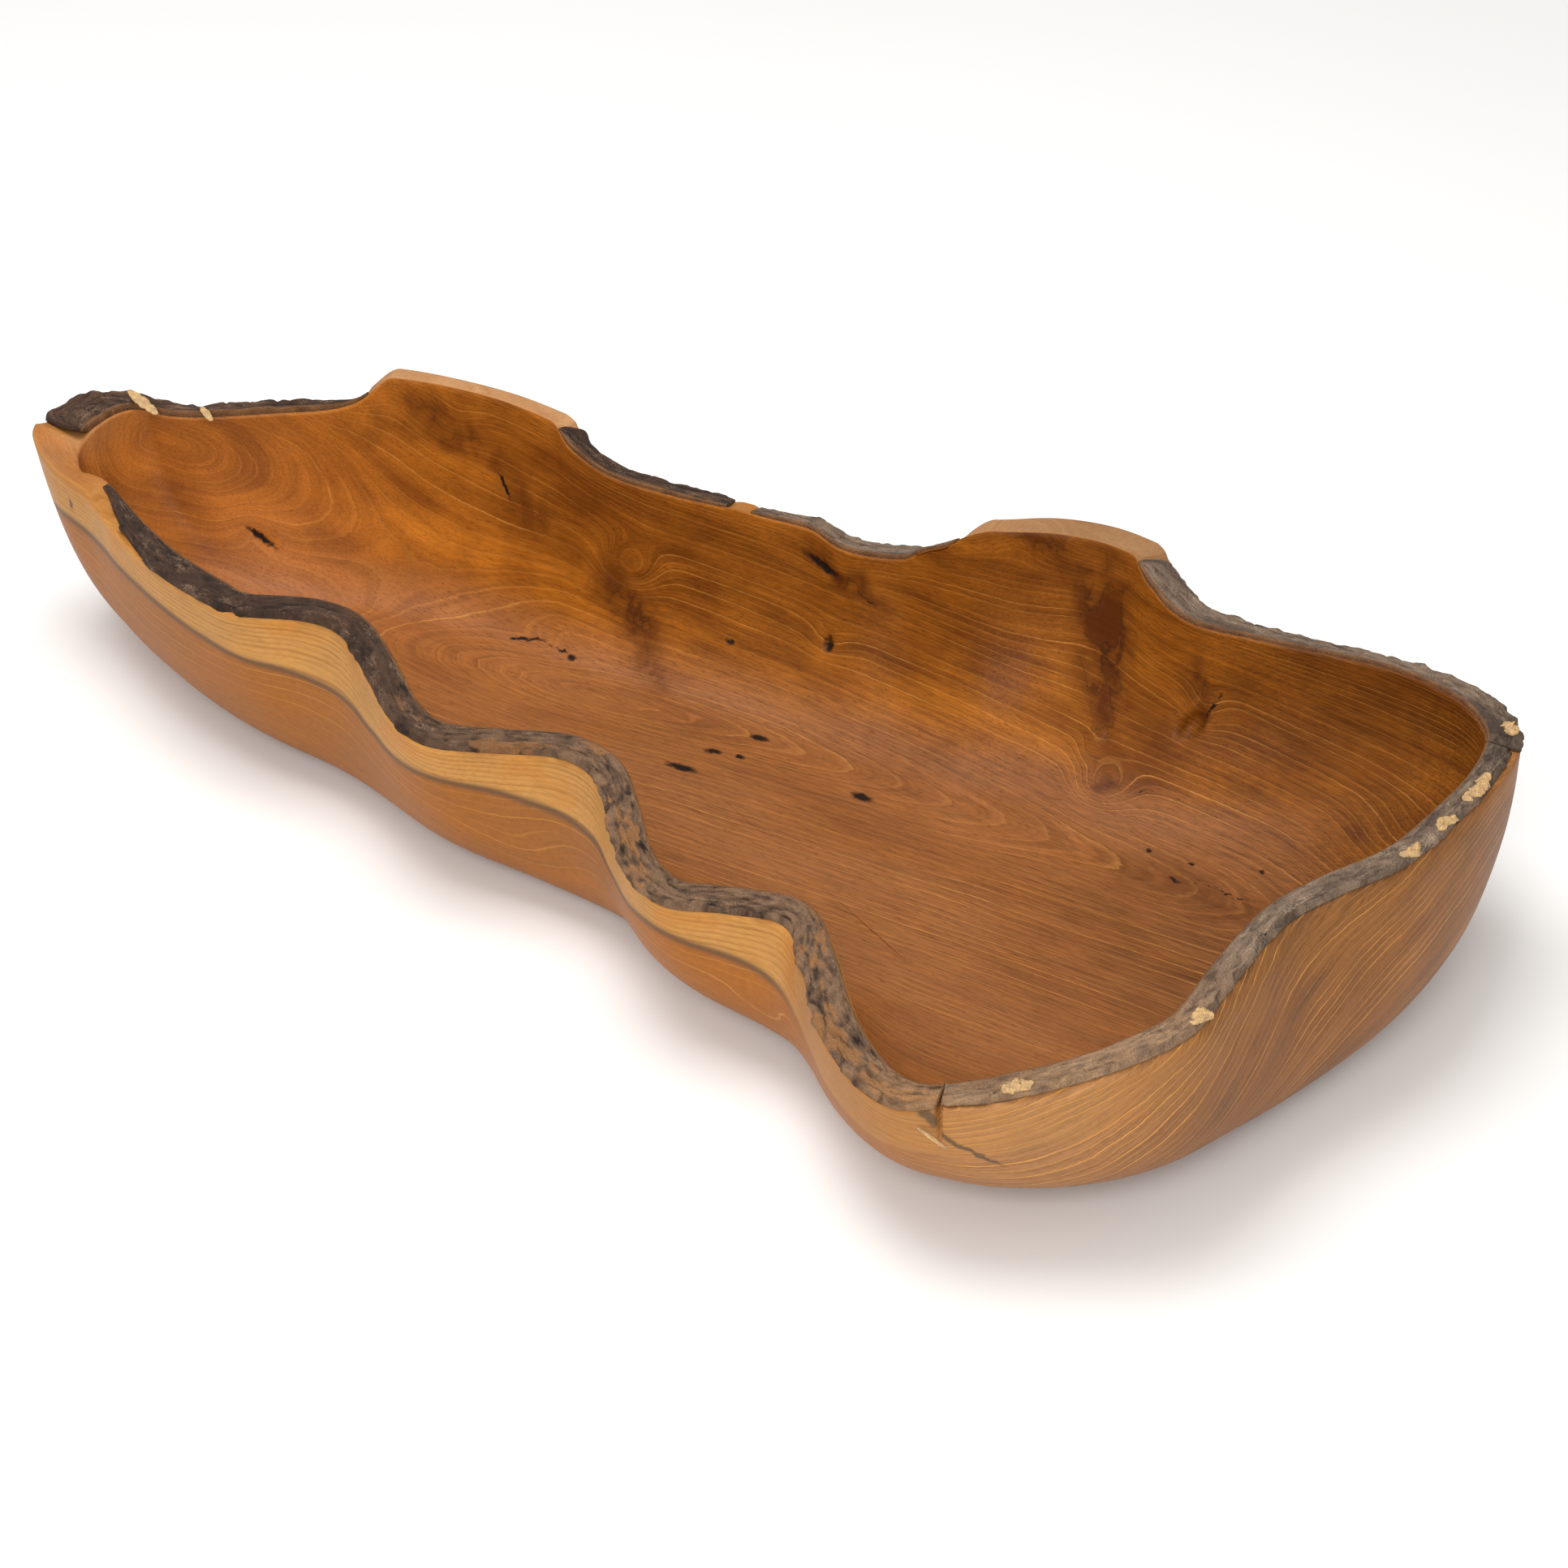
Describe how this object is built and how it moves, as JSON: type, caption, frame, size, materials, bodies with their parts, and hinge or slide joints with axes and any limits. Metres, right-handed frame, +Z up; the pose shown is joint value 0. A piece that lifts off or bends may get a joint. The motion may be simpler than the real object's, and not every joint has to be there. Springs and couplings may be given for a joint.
{
  "type": "carved wooden bowl",
  "caption": "Long, low live-edge bowl carved from one block of fluted wood, with natural bark left on its scalloped rim, for fruit or display.",
  "frame": {"origin": "on the table under the middle of the bowl, in the flat base", "axes": "+X along the length from the narrow nose to the wide end, +Y from the wavy front wall to the back wall with the two sawn lobes, +Z up"},
  "size_m": [0.6166, 0.3038, 0.104],
  "materials": {
    "bowl_wood": "smooth oiled satin, orange-brown heartwood with pale sapwood below the rim outside",
    "dark_bark": "rough dark natural bark",
    "grey_bark": "rough weathered grey-brown natural bark",
    "bast": "matte fibrous inner bark"
  },
  "bodies": {
    "root": {"bowl_body": "bowl_wood", "bark_left_nose": "dark_bark", "bark_front": "dark_bark", "bark_right_end": "grey_bark", "bark_back_right": "grey_bark", "bark_back_right_mid": "grey_bark", "bark_back_left_mid": "dark_bark", "bast_chips": "bast"}
  },
  "joints": []
}
